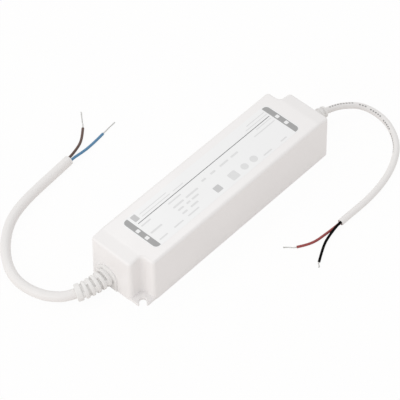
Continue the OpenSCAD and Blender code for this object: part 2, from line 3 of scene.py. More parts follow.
import bmesh
import bpy
import numpy as np
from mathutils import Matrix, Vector


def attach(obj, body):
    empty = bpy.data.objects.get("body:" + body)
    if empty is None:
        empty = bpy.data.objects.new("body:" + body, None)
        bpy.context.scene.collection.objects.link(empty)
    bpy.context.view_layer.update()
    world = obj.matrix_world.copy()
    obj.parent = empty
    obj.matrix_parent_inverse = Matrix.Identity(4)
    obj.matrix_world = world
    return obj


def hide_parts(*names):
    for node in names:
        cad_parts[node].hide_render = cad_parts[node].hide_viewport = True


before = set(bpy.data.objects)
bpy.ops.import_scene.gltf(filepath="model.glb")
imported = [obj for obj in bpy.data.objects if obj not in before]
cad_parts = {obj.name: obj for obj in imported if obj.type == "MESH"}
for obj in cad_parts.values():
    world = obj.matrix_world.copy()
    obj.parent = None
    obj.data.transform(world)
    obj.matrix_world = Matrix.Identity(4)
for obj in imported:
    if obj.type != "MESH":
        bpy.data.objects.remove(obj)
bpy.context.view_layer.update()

MM = 0.001

# Camera: a long lens looks down on the mains end from the front left corner,
# at the driver lying on a table, in the frame of the product picture.
scene = bpy.context.scene
scene.view_settings.view_transform = "Standard"
PICTURE = 400
FOCAL_PX = 2143
camera_at = Vector((-593.9, -544.9, 970.9)) * MM
lens = bpy.data.cameras.new("camera")
lens.sensor_fit = "HORIZONTAL"
lens.sensor_width = 36
lens.lens = FOCAL_PX / PICTURE * lens.sensor_width
lens.shift_x = -12.53 / PICTURE
lens.shift_y = 10.99 / PICTURE
lens.clip_end = 20
camera = bpy.data.objects.new("camera", lens)
camera.location = camera_at
camera.rotation_euler = (-camera_at).to_track_quat("-Z", "Y").to_euler()
scene.collection.objects.link(camera)
scene.camera = camera

# Studio: an even pale room, a broad low lamp beyond the mains end that leaves the long
# front side in soft shade, a small lamp behind that draws a glint along the crease,
# and a pale table that keeps a faint shadow.
def seen_directly(tree):
    """Factor that is 1 for what the eye sees straight, in a mirror or through glass."""
    ray = tree.nodes.new("ShaderNodeLightPath")
    factor = ray.outputs["Is Camera Ray"]
    for kind in ("Is Glossy Ray", "Is Transmission Ray"):
        either = tree.nodes.new("ShaderNodeMath")
        either.operation = "MAXIMUM"
        tree.links.new(factor, either.inputs[0])
        tree.links.new(ray.outputs[kind], either.inputs[1])
        factor = either.outputs[0]
    return factor


world = bpy.data.worlds.new("room")
scene.world = world
world.use_nodes = True
room = world.node_tree
room.nodes.clear()
sky = room.nodes.new("ShaderNodeBackground")
sky.inputs["Color"].default_value = (1.0, 0.998, 0.995, 1)
sky.inputs["Strength"].default_value = 0.775
backdrop = room.nodes.new("ShaderNodeBackground")
backdrop.inputs["Color"].default_value = (1, 1, 1, 1)
backdrop.inputs["Strength"].default_value = 1.0
pick = room.nodes.new("ShaderNodeMixShader")
room_out = room.nodes.new("ShaderNodeOutputWorld")
room.links.new(seen_directly(room), pick.inputs["Fac"])
room.links.new(sky.outputs["Background"], pick.inputs[1])
room.links.new(backdrop.outputs["Background"], pick.inputs[2])
room.links.new(pick.outputs["Shader"], room_out.inputs["Surface"])


def lamp(name, azimuth, elevation, distance, size, watts, colour):
    """Square area lamp, placed by its azimuth from +X and its elevation in degrees, facing the driver."""
    a, e = math.radians(azimuth), math.radians(elevation)
    light = bpy.data.lights.new(name, "AREA")
    light.size = size
    light.energy = watts
    light.color = colour
    holder = bpy.data.objects.new(name, light)
    holder.location = distance * Vector((math.cos(e) * math.cos(a), math.cos(e) * math.sin(a), math.sin(e)))
    holder.rotation_euler = (-holder.location).to_track_quat("-Z", "Y").to_euler()
    scene.collection.objects.link(holder)


lamp("key_lamp", azimuth=170, elevation=30, distance=4.3, size=3.2, watts=48, colour=(1.0, 0.99, 0.98))
lamp("back_lamp", azimuth=52, elevation=56.6, distance=1.8, size=0.34, watts=2.5, colour=(1.0, 1.0, 1.0))

TABLE_HALF = 3.0
table_mesh = bpy.data.meshes.new("table")
table_mesh.from_pydata(
    [(-TABLE_HALF, -TABLE_HALF, 0), (TABLE_HALF, -TABLE_HALF, 0), (TABLE_HALF, TABLE_HALF, 0),
     (-TABLE_HALF, TABLE_HALF, 0)], [], [(0, 1, 2, 3)])
table = bpy.data.objects.new("table", table_mesh)
scene.collection.objects.link(table)
table_top = bpy.data.materials.new("pale_table")
table_top.use_nodes = True
table_tree = table_top.node_tree
table_tree.nodes.clear()
matt = table_tree.nodes.new("ShaderNodeBsdfDiffuse")
matt.inputs["Color"].default_value = (0.90, 0.855, 0.83, 1)
paper_white = table_tree.nodes.new("ShaderNodeEmission")
paper_white.inputs["Strength"].default_value = 1.0
shown = table_tree.nodes.new("ShaderNodeMath")
shown.operation = "MULTIPLY"
shown.inputs[1].default_value = 0.95
table_mix = table_tree.nodes.new("ShaderNodeMixShader")
table_out = table_tree.nodes.new("ShaderNodeOutputMaterial")
table_tree.links.new(seen_directly(table_tree), shown.inputs[0])
table_tree.links.new(shown.outputs[0], table_mix.inputs["Fac"])
table_tree.links.new(matt.outputs["BSDF"], table_mix.inputs[1])
table_tree.links.new(paper_white.outputs["Emission"], table_mix.inputs[2])
table_tree.links.new(table_mix.outputs["Shader"], table_out.inputs["Surface"])
table_mesh.materials.append(table_top)


# Cord sheaths: two round white flexible sheaths, extruded over their cores. Each
# comes straight out of its boot, sinks to the table, bends back round the case and
# ends cut square, with the cores standing out of the hollow end.
def lengths_along(route):
    """Length from the start of a route to each of its points, over its straight steps."""
    return np.concatenate([[0], np.cumsum(np.linalg.norm(np.diff(route, axis=0), axis=1))])


def route_length(route):
    """Whole length of a route."""
    return float(lengths_along(route)[-1])


def read_off(at, run, rows):
    """Points or directions that are known at the lengths in run, read off at other lengths."""
    return np.stack([np.interp(at, run, rows[:, k]) for k in range(3)], 1)


def unit(rows):
    """Each row scaled to length 1."""
    return rows / np.linalg.norm(rows, axis=1)[:, None]


def square_to(heading):
    """Two directions square to each heading: level sideways, and up from there."""
    side = unit(np.cross([0, 0, 1], heading))
    return side, np.cross(heading, side)


def spline_route(points, start_dir, step):
    """Cubic spline through the points, with continuous bend and a set direction at the start.
    The slopes solve the usual three-term equations over chord lengths, the end is left free,
    and the curve is then cut into equal steps of length."""
    p = np.asarray(points, float)
    n = len(p)
    chord = np.linalg.norm(np.diff(p, axis=0), axis=1)
    heading = np.diff(p, axis=0) / chord[:, None]
    terms = np.zeros((n, n))
    sums = np.zeros((n, 3))
    i = np.arange(1, n - 1)
    terms[i, i - 1] = chord[i]
    terms[i, i] = 2 * (chord[i - 1] + chord[i])
    terms[i, i + 1] = chord[i - 1]
    sums[i] = 3 * (chord[i, None] * heading[i - 1] + chord[i - 1, None] * heading[i])
    terms[0, 0] = 1
    sums[0] = np.asarray(start_dir, float)
    terms[-1, -2:] = (1, 2)
    sums[-1] = 3 * heading[-1]
    slope = np.linalg.solve(terms, sums)
    u = np.linspace(0, 1, 33)[:-1, None]
    span = chord[:, None, None]
    curve = ((2 * u**3 - 3 * u**2 + 1) * p[:-1, None] + (u**3 - 2 * u**2 + u) * span * slope[:-1, None]
             + (3 * u**2 - 2 * u**3) * p[1:, None] + (u**3 - u**2) * span * slope[1:, None])
    curve = np.vstack([curve.reshape(-1, 3), p[-1:]])
    run = lengths_along(curve)
    steps = max(1, int(round(run[-1] / step)))
    return read_off(np.linspace(0, run[-1], steps + 1), run, curve)


def around_route(route, stations, radii, turn):
    """Surface round a route: at each station (a length along it) a ring square to the route, with one
    radius for each angle in turn or one for all. Angles start at the level sideways direction."""
    run = lengths_along(route)
    s = np.clip(stations, 0, run[-1])
    at = read_off(s, run, route)
    side, up = square_to(unit(read_off(s, run, np.gradient(route, run, axis=0))))
    r = np.broadcast_to(np.asarray(radii, float).reshape(len(s), -1), (len(s), len(turn)))
    return (at[:, None] + r[..., None] * (np.cos(turn)[None, :, None] * side[:, None]
                                         + np.sin(turn)[None, :, None] * up[:, None]))


def ring_angles(sides):
    """Even angles round a ring, in radians."""
    return 2 * np.pi * np.arange(sides) / sides


def grid_quads(rows, cols, wrap_rows=False):
    """Quads of a grid whose columns join up round the ring, and whose rows may too."""
    k = np.arange(rows * cols).reshape(rows, cols)
    lower = k if wrap_rows else k[:-1]
    upper = np.roll(k, -1, 0) if wrap_rows else k[1:]
    return np.stack([lower, np.roll(lower, -1, 1), np.roll(upper, -1, 1), upper], -1).reshape(-1, 4)


def closed_mesh(name, verts, faces, merge=1e-7):
    """Mesh from arrays, with doubles merged and faces turned outwards."""
    mesh = bpy.data.meshes.new(name)
    mesh.from_pydata(np.asarray(verts).reshape(-1, 3), [], [tuple(f) for f in faces])
    bm = bmesh.new()
    bm.from_mesh(mesh)
    bmesh.ops.remove_doubles(bm, verts=bm.verts, dist=merge)
    bmesh.ops.recalc_face_normals(bm, faces=bm.faces)
    bm.to_mesh(mesh)
    bm.free()
    return mesh


def new_piece(mesh, material, sharp_deg=40):
    """Object at the origin from a mesh, smooth except at edges sharper than an angle, riding on the
    one body of the driver."""
    mesh.polygons.foreach_set("use_smooth", np.ones(len(mesh.polygons), bool))
    mesh.set_sharp_from_angle(angle=math.radians(sharp_deg))
    mesh.materials.clear()
    mesh.materials.append(material)
    piece = bpy.data.objects.new(mesh.name, mesh)
    scene.collection.objects.link(piece)
    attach(piece, "root")
    return piece


def grain_group():
    """Shader group for moulded and extruded plastics: cloudy tint over the colour, roughness that
    wanders about its mean, and a fine even grain as bump height, all on Object coordinates."""
    g = bpy.data.node_groups.new("plastic_grain", "ShaderNodeTree")
    for name, kind, value in (("Colour", "NodeSocketColor", (0.8, 0.8, 0.8, 1)),
                              ("Shade", "NodeSocketColor", (0.7, 0.7, 0.7, 1)),
                              ("Cloud Scale", "NodeSocketFloat", 60.0),
                              ("Grain Scale", "NodeSocketFloat", 4000.0),
                              ("Roughness", "NodeSocketFloat", 0.4),
                              ("Wander", "NodeSocketFloat", 0.08)):
        g.interface.new_socket(name, in_out="INPUT", socket_type=kind).default_value = value
    g.interface.new_socket("Colour", in_out="OUTPUT", socket_type="NodeSocketColor")
    g.interface.new_socket("Roughness", in_out="OUTPUT", socket_type="NodeSocketFloat")
    g.interface.new_socket("Height", in_out="OUTPUT", socket_type="NodeSocketFloat")
    put, link = g.nodes.new, g.links.new
    came, gone = put("NodeGroupInput"), put("NodeGroupOutput")
    place = put("ShaderNodeTexCoord")
    cloud, grain = put("ShaderNodeTexNoise"), put("ShaderNodeTexNoise")
    cloud.inputs["Detail"].default_value = 4
    grain.inputs["Detail"].default_value = 3
    for tex, scale in ((cloud, "Cloud Scale"), (grain, "Grain Scale")):
        link(place.outputs["Object"], tex.inputs["Vector"])
        link(came.outputs[scale], tex.inputs["Scale"])
    tint = put("ShaderNodeMix")
    tint.data_type = "RGBA"
    link(cloud.outputs["Fac"], tint.inputs["Factor"])
    link(came.outputs["Colour"], tint.inputs["A"])
    link(came.outputs["Shade"], tint.inputs["B"])
    both = put("ShaderNodeMath")
    both.operation = "ADD"
    link(cloud.outputs["Fac"], both.inputs[0])
    link(grain.outputs["Fac"], both.inputs[1])
    off = put("ShaderNodeMath")
    off.operation = "SUBTRACT"
    off.inputs[1].default_value = 1.0
    link(both.outputs[0], off.inputs[0])
    swing = put("ShaderNodeMath")
    swing.operation = "MULTIPLY_ADD"
    link(off.outputs[0], swing.inputs[0])
    link(came.outputs["Wander"], swing.inputs[1])
    link(came.outputs["Roughness"], swing.inputs[2])
    link(tint.outputs["Result"], gone.inputs["Colour"])
    link(swing.outputs[0], gone.inputs["Roughness"])
    link(grain.outputs["Fac"], gone.inputs["Height"])
    return g


plastic_grain = grain_group()


def finish(name, colour, shade, roughness, cloud=60, grain=4000, depth=0.02, wander=0.1,
           specular=0.5, metallic=0.0):
    """Material of one finish: the grain group drives colour, roughness and bump of a Principled shader."""
    m = bpy.data.materials.new(name)
    m.use_nodes = True
    nt = m.node_tree
    bsdf = nt.nodes["Principled BSDF"]
    g = nt.nodes.new("ShaderNodeGroup")
    g.node_tree = plastic_grain
    g.inputs["Colour"].default_value = (*colour, 1)
    g.inputs["Shade"].default_value = (*shade, 1)
    g.inputs["Cloud Scale"].default_value = cloud
    g.inputs["Grain Scale"].default_value = grain
    g.inputs["Roughness"].default_value = roughness
    g.inputs["Wander"].default_value = wander
    bump = nt.nodes.new("ShaderNodeBump")
    bump.inputs["Strength"].default_value = 0.6
    bump.inputs["Distance"].default_value = depth * MM
    nt.links.new(g.outputs["Colour"], bsdf.inputs["Base Color"])
    nt.links.new(g.outputs["Roughness"], bsdf.inputs["Roughness"])
    nt.links.new(g.outputs["Height"], bump.inputs["Height"])
    nt.links.new(bump.outputs["Normal"], bsdf.inputs["Normal"])
    bsdf.inputs["Specular IOR Level"].default_value = specular
    bsdf.inputs["Metallic"].default_value = metallic
    return m


sheath_white = finish("sheath_pvc", (0.85, 0.833, 0.824), (0.815, 0.798, 0.789), 0.45, cloud=45, grain=2600,
                      depth=0.004, specular=0.4)


def cut_sheath(name, route, radius, bore, node):
    """Round sheath along a route: closed inside the boot, a slightly wavy wall, then a rounded lip and
    a short hollow at the cut end. Lip and hollow are pairs: the distance from the cut end, and the
    share of the sheath's radius or of the bore."""
    end = route_length(route)
    lip = np.array([[0.25, 0.985], [0.1, 0.955], [0.02, 0.90], [0, 0.86]])
    hollow = np.array([[0.05, 1.03], [0.2, 1], [0.45, 1], [0.45, 0]])
    wall_at = np.linspace(0, end - 0.4 * MM, len(route))
    wave = 1 - 0.006 * (1 + np.sin(wall_at / (17 * MM)) * np.sin(wall_at / (5.3 * MM) + 1))
    stations = np.concatenate([[0], wall_at, end - lip[:, 0] * MM, end - hollow[:, 0] * MM])
    radii = np.concatenate([[0], radius * wave, radius * lip[:, 1], bore * hollow[:, 1]])
    turn = ring_angles(40)
    rings = around_route(route, stations, radii, turn)
    mesh = closed_mesh(name, rings, grid_quads(len(stations), len(turn)))
    piece = new_piece(mesh, sheath_white)
    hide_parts(node)
    return piece


# How far the boot's plate stands out of the end face, and how far the sheath starts inside it.
PLATE_PROUD, SHEATH_IN = 0.6, 7.1


def cord_route(outlet, out_dir, lay, radius):
    """Route of a cord in metres: straight from inside the case to the boot's plate, then a spline over
    its lay. The lay is measured from the outlet, and in height from where the cord lies on the table."""
    start = outlet - [out_dir * SHEATH_IN, 0, 0]
    bend = outlet + [out_dir * PLATE_PROUD, 0, 0]
    points = np.vstack([bend, np.asarray(lay, float) + [outlet[0], outlet[1], radius]])
    free = spline_route(points, (out_dir, 0, 0), 0.8)
    return np.vstack([np.linspace(start, bend, 12)[:-1], free]) * MM


IN_OUTLET = np.array([-80.7, 7.4, 8.4])
IN_RADIUS, IN_BORE = 3.1, 2.4
in_lay = [
    [-21, 5.9, 2.7], [-23.9, 8, 2.1], [-26.6, 10.5, 1.5], [-28.9, 13.7, 1], [-31, 17.3, 0.5],
    [-32.6, 21.3, 0.2], [-34, 26.3, 0], [-34.8, 31.9, 0], [-34.6, 38.4, 0], [-32.8, 45, 0],
    [-29.3, 51.9, 0], [-24.4, 58.5, 0], [-18.2, 64.6, 0], [-10.4, 70.3, 0], [-1, 74.7, 0],
    [10, 77.3, 0], [22.4, 78.8, 0], [36.4, 79.9, 0], [50, 81, 0]]
in_route = cord_route(IN_OUTLET, -1, in_lay, IN_RADIUS)
input_sheath = cut_sheath("input_sheath_cord", in_route, IN_RADIUS * MM, IN_BORE * MM, "input_sheath")

OUT_OUTLET = np.array([80.7, 0, 9.5])
OUT_RADIUS, OUT_BORE = 2.05, 1.72
out_lay = [
    [18.9, -2, 6.2], [26.8, -4.3, 5.2], [33, -7.5, 3.9], [38.1, -11.6, 2.6], [41.2, -17.4, 1.5],
    [42.3, -24.1, 0.6], [41.5, -30.8, 0.1], [38.8, -37.4, 0], [34.7, -43.8, 0], [29.1, -49.5, 0],
    [21.5, -54.3, 0], [12.2, -58.2, 0], [1.9, -60.8, 0], [-8.5, -62.2, 0], [-18.4, -62.6, 0],
    [-27.3, -62.4, 0], [-37.9, -62.2, 0]]
out_route = cord_route(OUT_OUTLET, 1, out_lay, OUT_RADIUS)
output_sheath = cut_sheath("output_sheath_cord", out_route, OUT_RADIUS * MM, OUT_BORE * MM, "output_sheath")


def print_ink(name, colour, shade, roughness=0.4):
    """Finish of a thin printed ink, with hardly any grain of its own."""
    return finish(name, colour, shade, roughness, cloud=200, grain=3000, depth=0.004)


def dashes_on(name, route, radius, rows, width, dash, pitch, ink):
    """Thin ink dashes on a sheath, one pitch apart. Each row is where it starts and ends along the route
    and its turn from level in degrees. A dash is a strip of the sheath's ring, closed by an underside."""
    half = width / radius / 2
    lift, sink = 0.01, 0.06
    verts, faces = [], []
    for row_start, row_end, turn in rows:
        across = math.radians(turn) + np.linspace(-half, half, 5)
        loop = np.concatenate([across, across[::-1]])
        n = len(loop)
        radii = np.repeat([radius + lift, radius - sink], len(across)) * MM
        for start in np.arange(row_start, row_end, pitch):
            stations = np.linspace(start, start + dash, 3) * MM
            rings = around_route(route, stations, np.tile(radii, (len(stations), 1)), loop)
            first = sum(len(v) for v in verts)
            last = first + (len(stations) - 1) * n
            faces += [tuple(q) for q in grid_quads(len(stations), n) + first]
            faces += [tuple(range(first, first + n)), tuple(range(last, last + n))]
            verts.append(rings.reshape(-1, 3))
    return new_piece(closed_mesh(name, np.vstack(verts), faces), ink)


sheath_ink = print_ink("sheath_ink", (0.34, 0.335, 0.33), (0.30, 0.295, 0.29), 0.5)
dash_rows = [(28.5, 45, 86), (48.5, 53, 108), (56.3, 64, 122), (68, 76, 138), (79.5, 96, 160)]
output_dashes = dashes_on("output_cord_dashes", out_route, OUT_RADIUS, dash_rows,
                          width=0.85, dash=1.15, pitch=1.9, ink=sheath_ink)


# Cores: stranded copper under coloured insulation, brown and blue for the mains,
# red and black for the lamp. They leave the cut sheath side by side and spread out.
def core_points(route, lay, radius, off, turn):
    """Route points of one core: from inside the sheath's hollow end, offset to one side at a turn
    from level, out to its lay."""
    e = route[-1] / MM
    t = (route[-1] - route[-2]) / np.linalg.norm(route[-1] - route[-2])
    level_side = np.cross([0, 0, 1], t)
    s = off * (math.cos(turn) * level_side + math.sin(turn) * np.cross(t, level_side))
    free = np.asarray(lay, float) + [e[0], e[1], radius]
    return np.vstack([e + s - 2 * t, e + s, e + s + 2 * radius * t, free]), t


def insulated_core(colour, route, lay, radius, off, turn, node, material):
    """Insulation of one core, named for its colour: a tube on a spline route with a rounded, cut end.
    The end is pairs: the distance from the cut, and the share of the radius."""
    points, heading = core_points(route, lay, radius, off, turn)
    path = spline_route(points, heading, 0.5) * MM
    length = route_length(path)
    cut = np.array([[0.12, 0.97], [0.04, 0.9], [0, 0.78], [0, 0]])
    wall_at = np.linspace(0, length - 0.2 * MM, len(path))
    stations = np.concatenate([[0], wall_at, length - cut[:, 0] * MM])
    shares = np.concatenate([[0], np.ones(len(path)), cut[:, 1]])
    ring = ring_angles(24)
    rings = around_route(path, stations, radius * MM * shares, ring)
    mesh = closed_mesh(colour + "_core", rings, grid_quads(len(stations), len(ring)))
    piece = new_piece(mesh, material)
    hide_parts(node)
    return piece, path


def core_plastic(colour_name, colour, shade, roughness=0.38, specular=0.5):
    """Finish of one core's coloured insulation."""
    return finish(colour_name + "_insulation", colour, shade, roughness, cloud=300, grain=3000,
                  specular=specular)


brown_pvc = core_plastic("brown", (0.115, 0.058, 0.040), (0.085, 0.042, 0.030))
blue_pvc = core_plastic("blue", (0.09, 0.245, 0.415), (0.077, 0.21, 0.365))
red_pvc = core_plastic("red", (0.34, 0.052, 0.050), (0.28, 0.043, 0.042))
black_pvc = core_plastic("black", (0.003, 0.003, 0.003), (0.002, 0.002, 0.002), 0.55, 0.04)
brown_lay = [[7.5, 2.6, 2], [14, 5, 1.4], [20.2, 9.2, 0.6], [25.1, 13.4, 0.1]]
blue_lay = [[9.6, -1, 1.6], [20, -0.3, 0.7], [30.2, 1.2, 0.1]]
red_lay = [[-8, 0.8, 0.4], [-14, 1.3, 0.4], [-20, 2.3, 0.1], [-25.8, 4.6, 0.1], [-30.4, 7.3, 0.1]]
black_lay = [[-8.5, -1, 1.2], [-15.5, -2.4, 0.4], [-22.9, -5.6, 0.1], [-30, -9.4, 0.1]]
IN_CORE_R, IN_CORE_OFF, IN_CORE_TURN = 0.85, 1.15, 0
OUT_CORE_R, OUT_CORE_OFF, OUT_CORE_TURN = 0.8, 0.85, math.radians(60)
input_core_brown, brown_path = insulated_core(
    "brown", in_route, brown_lay, IN_CORE_R, IN_CORE_OFF, IN_CORE_TURN, "input_core_brown", brown_pvc)
input_core_blue, blue_path = insulated_core(
    "blue", in_route, blue_lay, IN_CORE_R, -IN_CORE_OFF, IN_CORE_TURN, "input_core_blue", blue_pvc)
output_core_red, red_path = insulated_core(
    "red", out_route, red_lay, OUT_CORE_R, -OUT_CORE_OFF, OUT_CORE_TURN, "output_core_red", red_pvc)
output_core_black, black_path = insulated_core(
    "black", out_route, black_lay, OUT_CORE_R, OUT_CORE_OFF, OUT_CORE_TURN, "output_core_black", black_pvc)

# Bare ends: fine tinned copper wires, twisted together where the insulation was
# stripped off. The bundle opens slightly towards its cut tip.
tinned_copper = finish("tinned_strands", (0.66, 0.655, 0.64), (0.58, 0.575, 0.56), 0.5, cloud=900, grain=6000,
                       metallic=1.0, depth=0.01)
STRANDS, STRAND_R, STRAND_LAY = 13, 0.085, 22.0
BUNDLE_R, BUNDLE_Z, TIP_OPENING = 0.33, 0.47, 0.14


def twisted_strands(name, route, path, bare, node):
    """Bundle of wires round one line: each wire is a helix at its own radius, one wire in the middle
    and the rest in a ring, with the pitch of the lay. The bundle opens a little at its tip."""
    sheath_end = route[-1] / MM
    last = path[-1] / MM
    heading = (path[-1] - path[-3]) / np.linalg.norm(path[-1] - path[-3])
    free = np.asarray(bare, float) + [sheath_end[0], sheath_end[1], BUNDLE_Z]
    line = spline_route(np.vstack([last - 1.5 * heading, last, last + heading, free]), heading, 0.3)
    steps = np.linspace(0, 1, 26)
    line = read_off(steps, np.linspace(0, 1, len(line)), line)
    side, up = square_to(unit(np.gradient(line, axis=0)))
    reach = route_length(line)
    wires = np.arange(STRANDS)
    start = 2 * np.pi * wires / (STRANDS - 1)
    away = np.where(wires == STRANDS - 1, 0.0, BUNDLE_R * (0.8 + 0.2 * np.cos(5 * wires)))
    open_by = 1 + TIP_OPENING * np.clip((steps - 0.55) / 0.45, 0, 1) ** 2
    short = 1 - 0.06 * (0.5 + 0.5 * np.sin(7.3 * wires))
    ring = ring_angles(6)
    verts, faces = [], []
    for k in wires:
        run = steps * short[k]
        angle = start[k] + 2 * np.pi * run * reach / STRAND_LAY
        swing = np.cos(angle)[:, None] * side + np.sin(angle)[:, None] * up
        wire = read_off(run, steps, line) + away[k] * open_by[:, None] * swing
        stations = np.concatenate([[0], np.linspace(0, 1, len(wire)), [1]]) * route_length(wire)
        radii = np.concatenate([[0], np.full(len(wire), STRAND_R), [0]])
        faces.append(grid_quads(len(stations), len(ring)) + sum(len(v) for v in verts))
        verts.append(around_route(wire, stations, radii, ring).reshape(-1, 3))
    mesh = closed_mesh(name, np.vstack(verts) * MM, np.vstack(faces))
    piece = new_piece(mesh, tinned_copper, 60)
    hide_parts(node)
    return piece


brown_bare = [[29, 17.8, 0.2], [34.2, 23.9, 0]]
blue_bare = [[35.6, 2, 0.2], [42.2, 2.8, 0]]
red_bare = [[-32.8, 9.9, 0.1], [-35.7, 13.2, 0]]
black_bare = [[-31.6, -10.8, 0.1], [-32.8, -11.9, 0]]
brown_ends = twisted_strands("brown_bare_end", in_route, brown_path, brown_bare, "brown_strands")
blue_ends = twisted_strands("blue_bare_end", in_route, blue_path, blue_bare, "blue_strands")
red_ends = twisted_strands("red_bare_end", out_route, red_path, red_bare, "red_strands")
black_ends = twisted_strands("black_bare_end", out_route, black_path, black_bare, "black_strands")

# Boots: soft white mouldings pushed through the end walls from outside. A collar
# locks behind the wall, an arched plate sits on it down to the base, and a ribbed
# tail with staggered windows lets the cord bend.
boot_white = finish("boot_pvc", (0.85, 0.84, 0.83), (0.83, 0.82, 0.81), 0.5, cloud=80, grain=3500,
                    depth=0.006, specular=0.3)
PLATE_T, PLATE_LIFT = 1.0, 0.15
SHANK, COLLAR_T, COLLAR_STEP = 3.7, 1.5, 0.8
WINDOW, WEB, FIRST_WINDOW, WINDOWS = 1.4, 4.0, -0.55, 6
WEB_TURN, WEB_LOW = 105, 0.5
ROOT_WEB_TURN, ROOT_WEB_SHARE = 64, 0.86
RIB_EDGE, SLEEVE, ROOT_SLEEVE = 0.45, 0.8, 0.05


def soft_step(x, edge, width):
    """Rises from 0 to 1 across an edge over a width, level at both ends."""
    u = np.clip((x - edge) / width + 0.5, 0, 1)
    return u * u * (3 - 2 * u)


def arch_radius(turn, radius, drop):
    """Distance from the cord's axis to an arched outline: a circle above the axis, and below it the
    nearer of an upright side and the level foot, where a ray of each angle meets them."""
    sideways = np.maximum(np.abs(np.cos(turn)), 1e-9)
    down = np.maximum(-np.sin(turn), 1e-9)
    return np.where(np.sin(turn) >= 0, radius, np.minimum(radius / sideways, drop / down))


def ribbed_boot(name, route, plate_at, axis_z, tail_len, bore, neck_r, plate_r, root_r, tip_r, pitch, node):
    """Boot round the cord's route. Its outside is one radius for each station and angle: collar, neck,
    arched plate, then a tapering tail whose windows drop to a thin sleeve except at two webs, broad ones
    at the plate and then narrow ones that turn a quarter between windows. Inside is the bore."""
    drop = axis_z - PLATE_LIFT
    corner = math.atan2(drop, plate_r)
    turn = np.unique(np.concatenate([ring_angles(240), [np.pi + corner, 2 * np.pi - corner]]))
    # Stations are measured from the plate's outer face, outwards.
    back = -PLATE_T - SHANK
    step = back + COLLAR_T
    collar_r = neck_r + COLLAR_STEP
    shank = np.array([
        [back, bore + 0.2], [back, collar_r - 0.3], [back + 0.1, collar_r - 0.1], [back + 0.3, collar_r],
        [step - 0.2, collar_r], [step - 0.05, collar_r - 0.1], [step, collar_r - 0.3],
        [step, neck_r], [-PLATE_T, neck_r]])
    plate = np.array([[-PLATE_T, 0.1], [-PLATE_T + 0.06, 0], [-0.34, 0], [-0.2, 0.03], [-0.09, 0.1],
                      [-0.02, 0.2], [0, 0.34]])
    plate_rings = np.stack([arch_radius(turn, plate_r - inset, drop) for inset in plate[:, 1]])
    starts = FIRST_WINDOW + pitch * np.arange(WINDOWS)
    marks = np.array([-0.6, -0.45, -0.32, -0.2, -0.1, -0.03, -0.005, 0.005, 0.2, 0.5])
    offsets = np.concatenate([marks, WINDOW - marks])
    tip_marks = tail_len - np.array([0.6, 0.45, 0.3, 0.18, 0.08, 0.02, 0.0])
    along = np.unique(np.concatenate([(starts[:, None] + offsets).ravel(), tip_marks]))
    along = along[(along >= 0.004) & (along <= tail_len)]
    full = root_r + (tip_r - root_r) * along / tail_len
    # Each rib's edges are quarter circles, and so is the rim of the tip.
    into = np.min(np.abs(along[:, None] - (starts + WINDOW / 2)), 1) - WINDOW / 2
    to_edge = np.clip(RIB_EDGE - np.minimum(np.clip(into, 0, None), tail_len - along), 0, RIB_EDGE)
    rib = full - RIB_EDGE + np.sqrt(RIB_EDGE**2 - to_edge**2)
    which = np.argmin(np.abs(along[:, None] - (starts + WINDOW / 2)), 1)
    floor = bore + np.where(which == 0, ROOT_SLEEVE, SLEEVE)[:, None]
    web_at = np.radians(np.where(which == 0, ROOT_WEB_TURN, WEB_TURN + 90 * which))
    web_half = np.where(which == 0, ROOT_WEB_SHARE * root_r, WEB / 2)
    off = np.abs((turn[None] - web_at[:, None] + np.pi / 2) % np.pi - np.pi / 2) * full[:, None] * 0.85
    webbed = 1 - soft_step(off, web_half[:, None], 0.3)
    web_top = floor + (full[:, None] - WEB_LOW - floor) * webbed
    tail = np.where(into[:, None] >= 0, rib[:, None], web_top)
    bore_rings = np.array([[tail_len, bore + 0.25], [tail_len - 0.1, bore + 0.08], [tail_len - 0.6, bore],
                           [back + 0.1, bore], [back, bore + 0.08]])
    stations = np.concatenate([shank[:, 0], plate[:, 0], along, bore_rings[:, 0]])
    radii = np.vstack([np.repeat(shank[:, 1:], len(turn), 1), plate_rings, tail,
                       np.repeat(bore_rings[:, 1:], len(turn), 1)])
    rings = around_route(route, plate_at + stations * MM, radii * MM, turn)
    mesh = closed_mesh(name, rings, grid_quads(len(stations), len(turn), True))
    piece = new_piece(mesh, boot_white, 50)
    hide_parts(node)
    return piece


plate_at = (SHEATH_IN + PLATE_PROUD) * MM
CORD_FIT = 0.05
IN_NECK_R, IN_PLATE_R = 6.0, 7.7
OUT_NECK_R, OUT_PLATE_R = 4.6, 6.4
input_boot = ribbed_boot(
    "input_cord_boot", in_route, plate_at, axis_z=IN_OUTLET[2], tail_len=20.6, bore=IN_RADIUS + CORD_FIT,
    neck_r=IN_NECK_R, plate_r=IN_PLATE_R, root_r=6.0, tip_r=5.2, pitch=3.3, node="input_boot")
output_boot = ribbed_boot(
    "output_cord_boot", out_route, plate_at, axis_z=OUT_OUTLET[2], tail_len=17.65, bore=OUT_RADIUS + CORD_FIT,
    neck_r=OUT_NECK_R, plate_r=OUT_PLATE_R, root_r=4.6, tip_r=3.6, pitch=3.0, node="output_boot")

